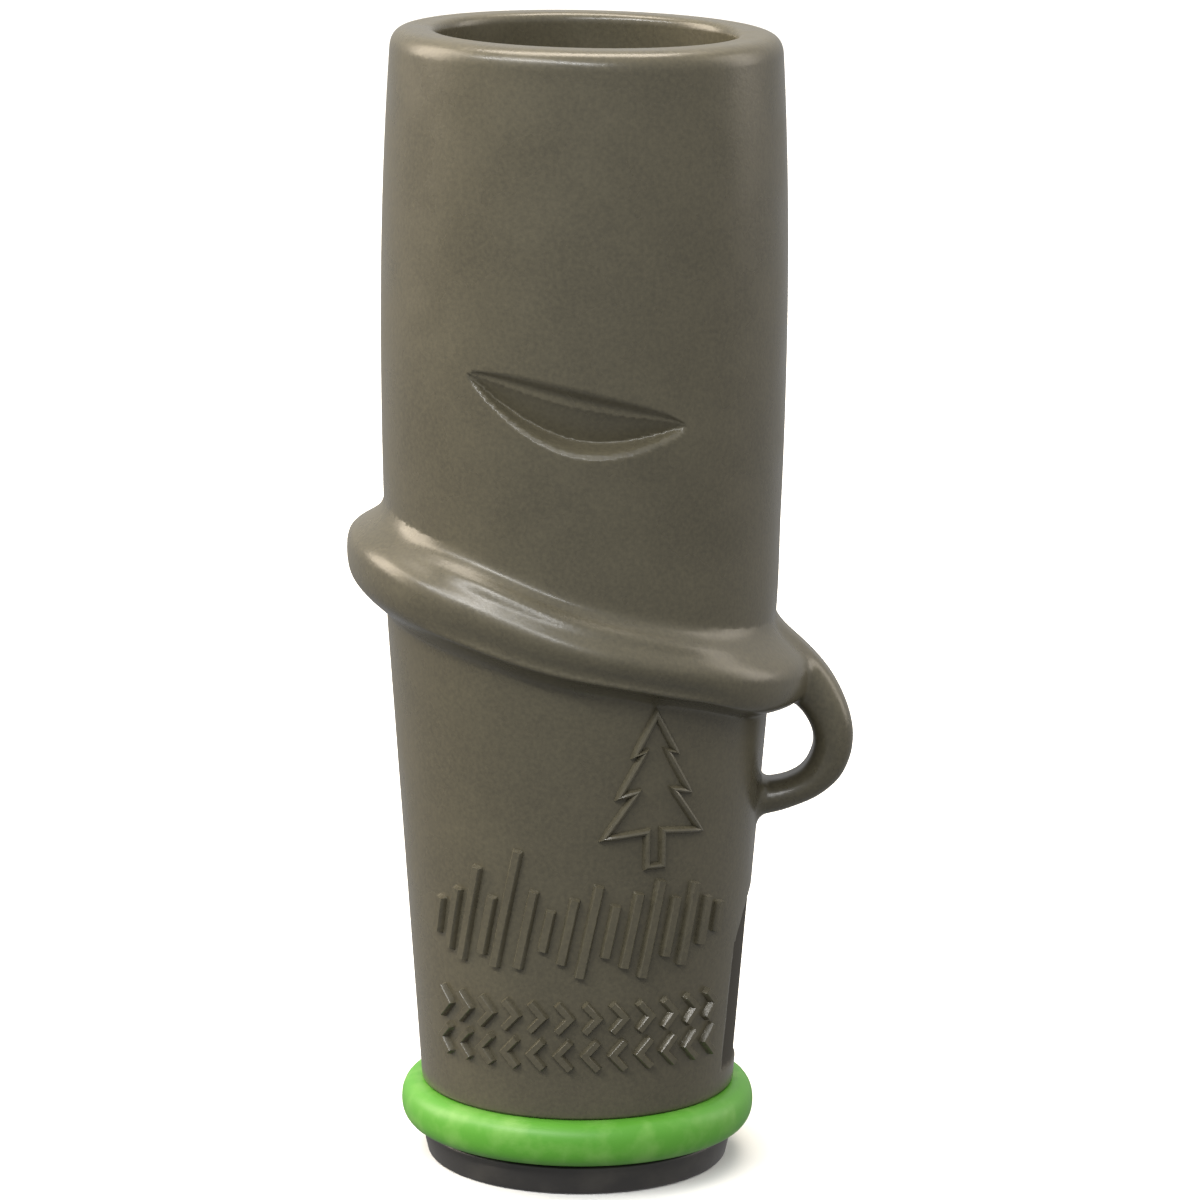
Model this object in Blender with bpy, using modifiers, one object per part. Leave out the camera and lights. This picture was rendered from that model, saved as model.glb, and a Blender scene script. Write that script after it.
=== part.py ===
"""Hands-free deer grunt call: a soft barrel on a hard mouthpiece that carries the reed.

Run with: blender --background --python part.py

The call stands on its mouthpiece rim. +Z runs up the tube to the bell, -Y is the decorated
front and the lanyard eye is at +X. The origin is the middle of the whole call's footprint,
so the tube's own axis stands a little to its -X side, at AXIS_X.
Lengths are in metres, written as millimetres times MM.
"""

import math

import bmesh
import bpy
from mathutils import Matrix, Vector

MM = 0.001
WELD = 0.0001 * MM
TURN_STEPS = 60

# Driving dimensions
CALL_HEIGHT = 100.0 * MM
GAP = 0.3 * MM  # between pieces that touch on the real call

# Barrel: (height, outer radius), bottom to top, of the two turned stretches
BARREL_FOOT = 2.9 * MM
BAND_SEAT_TOP = 7.2 * MM
BAND_SEAT_RADIUS = 13.0 * MM
NECK_OUTLINE = [(7.2, 13.9), (13.5, 14.35), (24.0, 15.2), (34.0, 15.75), (44.0, 16.45), (49.0, 17.0)]
BELL_OUTLINE = [(57.0, 17.35), (66.0, 17.6), (76.0, 17.7), (86.0, 17.6), (94.0, 17.25), (97.6, 17.0)]
LIP_OUTLINE = [(98.7, 16.8), (99.6, 16.2), (100.0, 15.4), (100.0, 14.0), (99.6, 13.3), (98.6, 13.0)]
NECK_BORE = 10.0 * MM
BELL_BORE = 12.9 * MM
THROAT_TOP = 53.5 * MM
BELL_FLOOR = 61.0 * MM

# Slanted collar round the waist
COLLAR_HEIGHT = 49.6 * MM
COLLAR_TILT = math.radians(14.5)
COLLAR_REACH = 20.6 * MM
COLLAR_BUMP = (3.6 * MM, 3.1 * MM)  # how far it stands proud, half its height
COLLAR_ROOT = 15.2 * MM

# Lanyard eye
EYE_REACH = 24.2 * MM
EYE_HALF_WIDTH = 2.7 * MM
EYE_EDGE = 1.1 * MM

# Finger crease in the bell, parallel to the collar
CREASE_HEIGHT = 68.9 * MM
CREASE_AXIS_Y = -17.75 * MM
CREASE_SECTION = (3.0 * MM, 2.5 * MM)  # half depth, half height

# Sunk panel at the eye's side of the neck
PANEL_DEPTH = 0.35 * MM
PANEL_HALF_WIDTH = 5.0 * MM
PANEL_BOTTOM = 8.9 * MM
PANEL_TOP = 25.2 * MM

# Clamp band
BAND_BORE = 13.3 * MM
BAND_REACH = 15.6 * MM
BAND_BOTTOM = 2.9 * MM
BAND_TOP = 6.9 * MM

# Mouthpiece: lip rim, spigot with a window in front, and a bulkhead that holds the reed
RIM_TOP = 2.6 * MM
RIM_TOP_RADIUS = 13.65 * MM
RIM_FOOT_RADIUS = 13.15 * MM
SPIGOT_RADIUS = 9.6 * MM
SPIGOT_BORE = 8.2 * MM
BLOW_HOLE = 7.4 * MM
BULKHEAD_BOTTOM = 43.0 * MM
BULKHEAD_TOP = 52.0 * MM
REED_BORE = 5.7 * MM
WINDOW_BOTTOM = 12.5 * MM
WINDOW_TOP = 41.0 * MM
WINDOW_HALF_WIDTH = 7.0 * MM

# Seal ring in the bulkhead's groove
SEAL_HEIGHT = 47.6 * MM
SEAL_WIRE = 0.7 * MM
SEAL_RING = 9.0 * MM
SEAL_GROOVE_RADIUS = 8.0 * MM

# Reed unit. The table's flat is on the tube's axis plane and faces -Y.
BOARD_RADIUS = 5.3 * MM
BOARD_TIP = 12.0 * MM
BOARD_TOP = 52.3 * MM
BOARD_HEAD_TOP = 53.3 * MM
BOARD_HEAD_RADIUS = 6.8 * MM
TABLE_BEND = 0.0016 / MM  # the table falls away from the reed as this times the distance squared
TROUGH_RADIUS = 2.5 * MM
TROUGH_TIP = 15.5 * MM
REED_HINGE_HEIGHT = 42.0 * MM
REED_GAP = 0.4 * MM
REED_THICKNESS = 0.35 * MM
REED_HALF_WIDTH = 4.0 * MM
REED_TIP = 13.0 * MM
REED_ROOT = 48.5 * MM
WEDGE_BOTTOM = 43.5 * MM

# Tuning ring
TUNER_HEIGHT = 39.0 * MM
TUNER_WIRE = 0.8 * MM

AXIS_X = (COLLAR_REACH - EYE_REACH) / 2
AXIS = Vector((AXIS_X, 0.0, 0.0))


def clear_scene():
    for obj in list(bpy.data.objects):
        bpy.data.objects.remove(obj, do_unlink=True)


def new_collection(name):
    collection = bpy.data.collections.new(name)
    bpy.context.scene.collection.children.link(collection)
    return collection


def make_material(name, colour, roughness, metallic=0.0):
    material = bpy.data.materials.new(name)
    material.use_nodes = True
    shader = material.node_tree.nodes["Principled BSDF"]
    shader.inputs["Base Color"].default_value = (*colour, 1.0)
    shader.inputs["Roughness"].default_value = roughness
    shader.inputs["Metallic"].default_value = metallic
    return material


def add_object(name, data, collection, location=AXIS):
    obj = bpy.data.objects.new(name, data)
    collection.objects.link(obj)
    obj.location = location
    return obj


def hide_helper(obj):
    obj.hide_render = True
    obj.display_type = "WIRE"
    return obj


def take_primitive(name, collection, location=AXIS):
    """The primitive that bpy.ops has just added, renamed and moved to its collection."""
    obj = bpy.context.object
    obj.name = name
    for owner in list(obj.users_collection):
        owner.objects.unlink(obj)
    collection.objects.link(obj)
    obj.location = location
    return obj


def apply_scale(obj):
    obj.data.transform(Matrix.Diagonal((*obj.scale, 1.0)))
    obj.scale = (1.0, 1.0, 1.0)


def add_boolean(obj, other, operation="DIFFERENCE"):
    modifier = obj.modifiers.new(f"{operation.lower()} {other.name}", "BOOLEAN")
    modifier.operation = operation
    modifier.solver = "EXACT"
    modifier.object = other


def turned(name, section, collection, steps=TURN_STEPS):
    """A solid of revolution about the tube's axis from a closed (radius, height) section.

    The section runs down its outer side and comes back up its inner side.
    """
    mesh = bpy.data.meshes.new(name)
    points = [(radius, 0.0, height) for radius, height in section]
    edges = [(i, (i + 1) % len(points)) for i in range(len(points))]
    mesh.from_pydata(points, edges, [])
    obj = add_object(name, mesh, collection)
    screw = obj.modifiers.new("turn", "SCREW")
    screw.axis = "Z"
    screw.angle = 2 * math.pi
    screw.steps = steps
    screw.render_steps = steps
    screw.use_merge_vertices = True
    screw.merge_threshold = WELD
    screw.use_smooth_shade = False
    return obj


def flat_outline(name, loops, half_thickness, collection, edge=0.0):
    """A plate in the XZ plane from closed outlines; later outlines are holes in the first."""
    curve = bpy.data.curves.new(name, "CURVE")
    curve.dimensions = "2D"
    curve.fill_mode = "BOTH"
    curve.extrude = half_thickness - edge
    curve.bevel_depth = edge
    curve.bevel_resolution = 2
    curve.offset = -edge
    for loop in loops:
        spline = curve.splines.new("POLY")
        spline.points.add(len(loop) - 1)
        for point, (x, z) in zip(spline.points, loop):
            point.co = (x, z, 0.0, 1.0)
        spline.use_cyclic_u = True
    obj = add_object(name, curve, collection)
    obj.rotation_euler = (math.pi / 2, 0.0, 0.0)
    return obj


def curve_to_mesh(obj, collection):
    """The same shape as one welded mesh, which a Boolean can cut or join."""
    bpy.context.view_layer.update()
    graph = bpy.context.evaluated_depsgraph_get()
    mesh = bpy.data.meshes.new_from_object(obj.evaluated_get(graph))
    form = bmesh.new()
    form.from_mesh(mesh)
    bmesh.ops.remove_doubles(form, verts=form.verts, dist=WELD)
    bmesh.ops.recalc_face_normals(form, faces=form.faces)
    form.to_mesh(mesh)
    form.free()
    name = obj.name
    matrix = obj.matrix_world.copy()
    bpy.data.objects.remove(obj, do_unlink=True)
    meshed = bpy.data.objects.new(name, mesh)
    collection.objects.link(meshed)
    meshed.matrix_world = matrix
    return meshed


def arc(centre, radii, start, end, count):
    """Points along part of an ellipse, angles in degrees."""
    angles = [math.radians(start + (end - start) * i / (count - 1)) for i in range(count)]
    return [(centre[0] + radii[0] * math.cos(a), centre[1] + radii[1] * math.sin(a)) for a in angles]


def box_cutter(name, low, high, collection):
    """A block given by two corners measured from the tube's axis."""
    bpy.ops.mesh.primitive_cube_add(size=1.0)
    middle = (Vector(low) + Vector(high)) / 2
    obj = take_primitive(name, collection, AXIS + middle)
    obj.scale = Vector(high) - Vector(low)
    apply_scale(obj)
    return hide_helper(obj)


def rod(name, radius, bottom, top, collection, vertices=48):
    """A round bar along the tube's axis."""
    bpy.ops.mesh.primitive_cylinder_add(vertices=vertices, radius=radius, depth=top - bottom)
    return take_primitive(name, collection, AXIS + Vector((0.0, 0.0, (bottom + top) / 2)))


def outline_points(outline):
    return [(radius * MM, height * MM) for height, radius in outline]


def outer_radius(height):
    """The neck's outer radius at a height, from its outline."""
    points = outline_points(NECK_OUTLINE)
    for (low_r, low_z), (high_r, high_z) in zip(points, points[1:]):
        if height <= high_z:
            return low_r + (high_r - low_r) * (height - low_z) / (high_z - low_z)
    return points[-1][0]


def barrel_section():
    outside = outline_points(NECK_OUTLINE + BELL_OUTLINE)
    lip = outline_points(LIP_OUTLINE)
    bore = [
        (BELL_BORE, 95.0 * MM),
        (BELL_BORE, 78.0 * MM),
        (BELL_BORE, BELL_FLOOR),
        (NECK_BORE, THROAT_TOP),
        (NECK_BORE, 30.0 * MM),
        (NECK_BORE, BARREL_FOOT),
    ]
    seat = [(BAND_SEAT_RADIUS, BARREL_FOOT), (BAND_SEAT_RADIUS, BAND_SEAT_TOP)]
    upwards = seat + outside + lip + bore
    return upwards[::-1]


def make_collar(helpers):
    """The slanted ring, longer along the slope so that it stands equally proud all round."""
    proud, half_height = COLLAR_BUMP
    crest = COLLAR_REACH - proud
    bump = arc((crest, 0.0), (proud, half_height), 90, -90, 9)
    section = [(COLLAR_ROOT, half_height)] + bump + [(COLLAR_ROOT, -half_height)]
    ring = turned("collar_form", section, helpers)
    stretch = 1.0 / math.cos(COLLAR_TILT)
    ring.scale = (stretch, 1.0, 1.0)
    ring.location = AXIS + Vector((0.0, 0.0, COLLAR_HEIGHT))
    ring.rotation_euler = (0.0, COLLAR_TILT, 0.0)
    return hide_helper(ring)


def make_eye(helpers):
    """The lanyard eye: a rounded plate under the collar with a D-shaped hole."""
    root = 11.6 * MM
    outer = [(root, 46.0 * MM), (18.0 * MM, 47.6 * MM), (19.9 * MM, 46.1 * MM), (21.6 * MM, 44.2 * MM)]
    outer += arc((19.4 * MM, 37.6 * MM), (EYE_REACH - 19.4 * MM, 6.0 * MM), 45, -60, 9)
    outer += [(18.6 * MM, 31.0 * MM), (16.4 * MM, 30.0 * MM), (root, 29.6 * MM)]
    hole = [(15.0 * MM, 33.7 * MM), (17.2 * MM, 33.7 * MM)]
    hole += arc((18.4 * MM, 37.25 * MM), (2.4 * MM, 3.6 * MM), -75, 75, 9)
    hole += [(18.0 * MM, 40.8 * MM), (15.0 * MM, 40.3 * MM)]
    plate = flat_outline("eye_form", [outer, hole], EYE_HALF_WIDTH, helpers, EYE_EDGE)
    return hide_helper(curve_to_mesh(plate, helpers))


def make_crease_cutter(helpers):
    """A long rod of oval section, laid across the front and parallel to the collar."""
    half_depth, half_height = CREASE_SECTION
    bpy.ops.mesh.primitive_cylinder_add(vertices=40, radius=1.0, depth=1.0)
    cutter = take_primitive("crease_cutter", helpers, AXIS + Vector((0.0, CREASE_AXIS_Y, CREASE_HEIGHT)))
    cutter.scale = (half_height, half_depth, 40.0 * MM)
    apply_scale(cutter)
    cutter.rotation_euler = (0.0, math.pi / 2 + COLLAR_TILT, 0.0)
    return hide_helper(cutter)


def make_panel_cutter(helpers):
    """An arched prism over the +X side, hollowed by a core so that its floor follows the neck."""
    arch = arc((0.0, PANEL_TOP - PANEL_HALF_WIDTH), (PANEL_HALF_WIDTH, PANEL_HALF_WIDTH), 0, 180, 13)
    outline = [(-PANEL_HALF_WIDTH, PANEL_BOTTOM), (PANEL_HALF_WIDTH, PANEL_BOTTOM)] + arch
    curve = flat_outline("panel_cutter", [outline], 4.0 * MM, helpers)
    curve.rotation_euler = (math.pi / 2, 0.0, math.pi / 2)
    curve.location = AXIS + Vector((14.5 * MM, 0.0, 0.0))
    cutter = curve_to_mesh(curve, helpers)
    heights = [5.0 * MM, 13.5 * MM, 24.0 * MM, 34.0 * MM]
    side = [(outer_radius(z) - PANEL_DEPTH, z) for z in reversed(heights)]
    inner = [(4.0 * MM, heights[0]), (4.0 * MM, heights[-1])]
    core = hide_helper(turned("panel_core", side + inner, helpers))
    add_boolean(cutter, core)
    return hide_helper(cutter)


def make_barrel(parts, helpers, rubber):
    barrel = turned("barrel", barrel_section(), parts)
    barrel.data.materials.append(rubber)
    add_boolean(barrel, make_collar(helpers), "UNION")
    add_boolean(barrel, make_eye(helpers), "UNION")
    add_boolean(barrel, make_crease_cutter(helpers))
    add_boolean(barrel, make_panel_cutter(helpers))
    return barrel


def make_clamp_band(parts, rubber):
    middle = (BAND_BOTTOM + BAND_TOP) / 2
    half_height = (BAND_TOP - BAND_BOTTOM) / 2
    shoulder = BAND_BORE + 0.9 * MM
    bulge = arc((shoulder, middle), (BAND_REACH - shoulder, half_height), 90, -90, 9)
    section = [(BAND_BORE, BAND_TOP)] + bulge + [(BAND_BORE, BAND_BOTTOM)]
    band = turned("clamp_band", section, parts)
    band.data.materials.append(rubber)
    return band


def mouthpiece_section():
    groove_half = SEAL_WIRE + GAP
    outer = [
        (SPIGOT_RADIUS - 0.4 * MM, BULKHEAD_TOP),
        (SPIGOT_RADIUS, BULKHEAD_TOP - 0.4 * MM),
        (SPIGOT_RADIUS, SEAL_HEIGHT + groove_half),
        (SEAL_GROOVE_RADIUS, SEAL_HEIGHT + groove_half),
        (SEAL_GROOVE_RADIUS, SEAL_HEIGHT - groove_half),
        (SPIGOT_RADIUS, SEAL_HEIGHT - groove_half),
        (SPIGOT_RADIUS, RIM_TOP),
        (RIM_TOP_RADIUS, RIM_TOP),
        (RIM_FOOT_RADIUS, 0.6 * MM),
        (RIM_FOOT_RADIUS - 0.6 * MM, 0.0),
    ]
    inner = [
        (BLOW_HOLE + 0.9 * MM, 0.0),
        (BLOW_HOLE, 0.9 * MM),
        (BLOW_HOLE, 7.0 * MM),
        (SPIGOT_BORE, 9.0 * MM),
        (SPIGOT_BORE, BULKHEAD_BOTTOM),
        (REED_BORE, BULKHEAD_BOTTOM),
        (REED_BORE, BULKHEAD_TOP),
    ]
    return outer + inner


def make_mouthpiece(parts, helpers, plastic):
    mouthpiece = turned("mouthpiece", mouthpiece_section(), parts)
    mouthpiece.data.materials.append(plastic)
    corner = 2.5 * MM
    inset = WINDOW_HALF_WIDTH - corner
    low = WINDOW_BOTTOM + corner
    high = WINDOW_TOP - corner
    outline = arc((inset, low), (corner, corner), -90, 0, 5)
    outline += arc((inset, high), (corner, corner), 0, 90, 5)
    outline += arc((-inset, high), (corner, corner), 90, 180, 5)
    outline += arc((-inset, low), (corner, corner), 180, 270, 5)
    slot = flat_outline("window_cutter", [outline], 4.5 * MM, helpers)
    slot.location = AXIS + Vector((0.0, -8.0 * MM, 0.0))
    add_boolean(mouthpiece, hide_helper(curve_to_mesh(slot, helpers)))
    return mouthpiece


def make_seal_ring(parts, rubber):
    bpy.ops.mesh.primitive_torus_add(
        major_radius=SEAL_RING, minor_radius=SEAL_WIRE, major_segments=48, minor_segments=8
    )
    ring = take_primitive("bulkhead_seal_ring", parts, AXIS + Vector((0.0, 0.0, SEAL_HEIGHT)))
    ring.data.materials.append(rubber)
    return ring


def make_table_cutter(helpers):
    """Everything in front of the table: flat at the clamp, then falling away towards the tip."""
    steps = 10
    fall = []
    for i in range(steps + 1):
        distance = (REED_HINGE_HEIGHT - BOARD_TIP + 1.0 * MM) * i / steps
        fall.append((TABLE_BEND * distance * distance, REED_HINGE_HEIGHT - distance))
    front = -12.0 * MM
    outline = [(front, 60.0 * MM), (0.0, 60.0 * MM)] + fall + [(front, fall[-1][1])]
    curve = flat_outline("table_cutter", [outline[::-1]], 12.0 * MM, helpers)
    curve.rotation_euler = (math.pi / 2, 0.0, math.pi / 2)
    return hide_helper(curve_to_mesh(curve, helpers))


def make_trough_cutter(helpers):
    """The air channel: a round-ended groove from near the tip out through the top."""
    trough = rod("trough_cutter", TROUGH_RADIUS, TROUGH_TIP, 60.0 * MM, helpers, 24)
    bpy.ops.mesh.primitive_uv_sphere_add(segments=24, ring_count=12, radius=TROUGH_RADIUS)
    end = take_primitive("trough_end", helpers, AXIS + Vector((0.0, 0.0, TROUGH_TIP)))
    add_boolean(trough, hide_helper(end), "UNION")
    return hide_helper(trough)


def make_tone_board(parts, helpers, plastic):
    """Half-round bar, curved table in front, trough down its middle, and a head that stops it."""
    board = rod("tone_board", BOARD_RADIUS, BOARD_TIP, BOARD_TOP + 0.5 * MM, parts)
    board.data.materials.append(plastic)
    head = rod("board_head", BOARD_HEAD_RADIUS, BOARD_TOP, BOARD_HEAD_TOP, helpers)
    add_boolean(board, hide_helper(head), "UNION")
    add_boolean(board, make_table_cutter(helpers))
    add_boolean(board, make_trough_cutter(helpers))
    return board


def make_reed(parts, film):
    """A flat strip with a rounded tip. Its object's origin is on the line that it bends about."""
    tip = REED_TIP - REED_HINGE_HEIGHT
    root = REED_ROOT - REED_HINGE_HEIGHT
    corner = 2.0 * MM
    outline = arc((corner - REED_HALF_WIDTH, tip + corner), (corner, corner), 180, 270, 5)
    outline += arc((REED_HALF_WIDTH - corner, tip + corner), (corner, corner), 270, 360, 5)
    outline += [(REED_HALF_WIDTH, root), (-REED_HALF_WIDTH, root)]
    reed = flat_outline("reed", [outline], REED_THICKNESS / 2, parts)
    middle = -(REED_GAP + REED_THICKNESS / 2)
    reed.location = AXIS + Vector((0.0, middle, REED_HINGE_HEIGHT))
    reed.data.materials.append(film)
    return reed


def make_reed_wedge(parts, helpers, cork):
    """The half-round cork that pins the reed's root against the tone board."""
    wedge = rod("reed_wedge", BOARD_RADIUS, WEDGE_BOTTOM, BULKHEAD_TOP, parts)
    wedge.data.materials.append(cork)
    face = -(2 * REED_GAP + REED_THICKNESS)
    low = (-10.0 * MM, face, WEDGE_BOTTOM - 1.0 * MM)
    high = (10.0 * MM, 10.0 * MM, BULKHEAD_TOP + 1.0 * MM)
    add_boolean(wedge, box_cutter("wedge_face_cutter", low, high, helpers))
    return wedge


def make_tuning_ring(parts, rubber):
    """The rubber ring stretched round board and reed: an arc behind, nearly straight in front."""
    clear = BOARD_RADIUS + GAP + TUNER_WIRE
    front = -(REED_GAP + REED_THICKNESS + GAP + TUNER_WIRE)
    bend = 1.2 * MM
    path = arc((0.0, 0.0), (clear, clear), 0, 180, 21)
    path += arc((bend - clear, front + bend), (bend, bend), 180, 270, 4)
    path += arc((clear - bend, front + bend), (bend, bend), 270, 360, 4)
    curve = bpy.data.curves.new("tuning_ring", "CURVE")
    curve.dimensions = "3D"
    curve.bevel_depth = TUNER_WIRE
    curve.bevel_resolution = 3
    spline = curve.splines.new("POLY")
    spline.points.add(len(path) - 1)
    for point, (x, y) in zip(spline.points, path):
        point.co = (x, y, 0.0, 1.0)
    spline.use_cyclic_u = True
    ring = add_object("tuning_ring", curve, parts, AXIS + Vector((0.0, 0.0, TUNER_HEIGHT)))
    ring.data.materials.append(rubber)
    return ring


def main():
    clear_scene()
    parts = new_collection("grunt_call")
    helpers = new_collection("cutters")
    barrel_rubber = make_material("barrel_rubber", (0.107, 0.098, 0.074), 0.5)
    band_rubber = make_material("band_rubber", (0.16, 0.42, 0.06), 0.45)
    black_plastic = make_material("black_plastic", (0.045, 0.042, 0.038), 0.4)
    black_rubber = make_material("black_rubber", (0.02, 0.02, 0.02), 0.6)
    reed_film = make_material("reed_film", (0.75, 0.73, 0.66), 0.25)
    cork = make_material("cork", (0.48, 0.31, 0.17), 0.85)
    make_barrel(parts, helpers, barrel_rubber)
    make_clamp_band(parts, band_rubber)
    make_mouthpiece(parts, helpers, black_plastic)
    make_seal_ring(parts, black_rubber)
    make_tone_board(parts, helpers, black_plastic)
    make_reed(parts, reed_film)
    make_reed_wedge(parts, helpers, cork)
    make_tuning_ring(parts, black_rubber)


main()
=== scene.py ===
"""Looks of a hands-free deer grunt call: soft moulded barrel, clamp band, mouthpiece and reed unit.

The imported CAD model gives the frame. Each operator builds one piece, or a few like pieces, over
its CAD nodes, in the same frame: +Z up the tube, -Y the decorated front, +X the lanyard eye.
Sizes in the settings are metres. The barrel is worked out in millimetres from the tube's axis.
"""

import math

import bmesh
import bpy
import numpy as np
from bpy.props import FloatProperty, PointerProperty, StringProperty
from mathutils import Matrix, Vector


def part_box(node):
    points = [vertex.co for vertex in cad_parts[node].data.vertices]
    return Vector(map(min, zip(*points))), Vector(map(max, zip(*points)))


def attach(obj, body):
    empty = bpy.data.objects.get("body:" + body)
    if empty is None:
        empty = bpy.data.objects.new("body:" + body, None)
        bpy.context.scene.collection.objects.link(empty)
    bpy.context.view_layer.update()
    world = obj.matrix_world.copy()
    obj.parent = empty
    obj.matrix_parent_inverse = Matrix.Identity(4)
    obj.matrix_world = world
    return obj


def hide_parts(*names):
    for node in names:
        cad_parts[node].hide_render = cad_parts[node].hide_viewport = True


bl_info = {
    "name": "Grunt Call",
    "version": (1, 0, 0),
    "blender": (4, 5, 0),
    "location": "View3D > Sidebar > Grunt Call",
    "description": "Builds the visible surfaces of a deer grunt call over its CAD frame",
    "category": "Object",
}

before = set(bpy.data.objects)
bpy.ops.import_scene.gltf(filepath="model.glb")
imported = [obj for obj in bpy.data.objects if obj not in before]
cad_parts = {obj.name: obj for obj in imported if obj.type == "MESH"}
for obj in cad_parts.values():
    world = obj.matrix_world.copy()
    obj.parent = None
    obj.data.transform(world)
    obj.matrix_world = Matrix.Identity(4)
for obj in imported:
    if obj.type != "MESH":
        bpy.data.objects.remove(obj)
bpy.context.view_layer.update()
MM = 0.001

RIM_LOW, RIM_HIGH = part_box("mouthpiece")
BARREL_LOW, BARREL_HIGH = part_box("barrel")
BAND_LOW, BAND_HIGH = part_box("clamp_band")
AXIS_X = (RIM_LOW.x + RIM_HIGH.x) / 2
AXIS = Vector((AXIS_X, 0.0, 0.0))
CALL_HEIGHT = BARREL_HIGH.z
EYE_REACH = BARREL_HIGH.x - AXIS_X
COLLAR_REACH = AXIS_X - BARREL_LOW.x


# Settings


class BarrelSettings(bpy.types.PropertyGroup):
    mouth_bore: FloatProperty(
        name="Bell bore", description="Radius of the bell's bore", default=12.9 * MM, unit="LENGTH"
    )
    throat_bore: FloatProperty(
        name="Throat bore", description="Radius that grips the mouthpiece", default=10.0 * MM, unit="LENGTH"
    )
    belly: FloatProperty(
        name="Belly", description="Largest radius of the bell", default=17.55 * MM, unit="LENGTH"
    )
    lip_round: FloatProperty(
        name="Lip rounding", description="Rounding of the bell's outer edge", default=1.7 * MM, unit="LENGTH"
    )
    collar_height: FloatProperty(
        name="Collar height", description="Collar's middle on the tube axis", default=49.8 * MM, unit="LENGTH"
    )
    collar_tilt: FloatProperty(
        name="Collar tilt",
        description="Slope of the collar down to the lanyard eye",
        default=math.radians(14.4),
        subtype="ANGLE",
    )
    crease_depth: FloatProperty(
        name="Crease depth", description="Depth of the crease in the bell", default=2.1 * MM, unit="LENGTH"
    )
    decoration_height: FloatProperty(
        name="Decoration height",
        description="How far the decoration is raised",
        default=0.55 * MM,
        unit="LENGTH",
    )
    cell: FloatProperty(
        name="Cell", description="Spacing of the surface's points", default=0.36 * MM, unit="LENGTH"
    )


class FinishSettings(bpy.types.PropertyGroup):
    barrel: StringProperty(name="Barrel", description="Colour of the soft barrel", default="#4B473A")
    barrel_dust: StringProperty(name="Bloom", description="Pale bloom on its skin", default="#6E6853")
    # painted shade: the sunk panel's darker colour stands in for the shade that falls in the recess
    panel: StringProperty(name="Panel", description="Colour of the sunk panel", default="#332F27")
    band: StringProperty(name="Band", description="Colour of the clamp band", default="#54962F")
    band_pale: StringProperty(name="Band scuff", description="Colour where it is scuffed", default="#86B45F")
    plastic: StringProperty(name="Plastic", description="Colour of the mouthpiece", default="#2F2D2B")
    plastic_dust: StringProperty(name="Dust", description="Colour of dust in its grain", default="#5A564E")
    nitrile: StringProperty(name="Rings", description="Colour of the rubber rings", default="#161616")
    talc: StringProperty(name="Talc", description="Colour of the rings where talc is left", default="#2B2B2A")
    film: StringProperty(name="Reed", description="Colour of the reed film", default="#E6E3D4")
    cork: StringProperty(name="Cork", description="Colour of the cork wedge", default="#B98A5A")
    cork_pale: StringProperty(name="Cork granule", description="Its palest granules", default="#D0A876")
    cork_dark: StringProperty(name="Cork pores", description="Colour of its pores", default="#6B4426")
    floor: StringProperty(name="Floor", description="Colour of the floor", default="#F4F4F3")


class StageSettings(bpy.types.PropertyGroup):
    camera_distance: FloatProperty(
        name="Camera distance", description="From the tube axis, level", default=470 * MM, unit="LENGTH"
    )
    camera_height: FloatProperty(
        name="Camera height", description="Above the floor", default=152.7 * MM, unit="LENGTH"
    )
    focal_length: FloatProperty(name="Focal length", description="In millimetres", default=165.4)
    roll: FloatProperty(
        name="Roll",
        description="Turn of the camera about its view",
        default=math.radians(0.55),
        subtype="ANGLE",
    )
    sky: FloatProperty(name="Surroundings", description="Light from the white surroundings", default=0.45)
    key: FloatProperty(name="Key softbox", description="Power in watts", default=1.8)
    strip: FloatProperty(name="Front strip", description="Power in watts", default=9.0)
    top: FloatProperty(name="Top softbox", description="Power in watts", default=11.0)
    left: FloatProperty(name="Left softbox", description="Power in watts", default=8.0)
    right: FloatProperty(name="Right softbox", description="Power in watts", default=2.4)


# Shared helpers


def colour(hex_code):
    """An sRGB hex colour as linear RGBA."""
    channels = [int(hex_code[i : i + 2], 16) / 255 for i in (1, 3, 5)]
    linear = [c / 12.92 if c <= 0.04045 else ((c + 0.055) / 1.055) ** 2.4 for c in channels]
    return (*linear, 1.0)


def add_node(tree, kind, settings=(), links=()):
    """Adds a node, sets its attributes and input values, and links its inputs."""
    node = tree.nodes.new(kind)
    for key, value in dict(settings).items():
        if isinstance(key, str) and hasattr(node, key):
            setattr(node, key, value)
        else:
            node.inputs[key].default_value = value
    for key, source in dict(links).items():
        tree.links.new(source, node.inputs[key])
    return node


def new_material(name):
    material = bpy.data.materials.new(name)
    material.use_nodes = True
    tree = material.node_tree
    shader = tree.nodes["Principled BSDF"]
    return material, tree, shader


def set_shader(shader, links, values):
    """Links outputs to the shader's inputs and sets the values that are the same all over."""
    for key, source in links.items():
        shader.id_data.links.new(source, shader.inputs[key])
    for key, value in values.items():
        shader.inputs[key].default_value = value


def linked_object(name, data):
    obj = bpy.data.objects.new(name, data)
    bpy.context.scene.collection.objects.link(obj)
    return obj


def new_piece(name, mesh, material, body, nodes=()):
    """Puts a mesh in the scene as a piece that rides on a body and stands for CAD nodes."""
    piece = linked_object(name, mesh)
    mesh.materials.clear()
    mesh.materials.append(material)
    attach(piece, body)
    if nodes:
        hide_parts(*nodes)
    return piece


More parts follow.
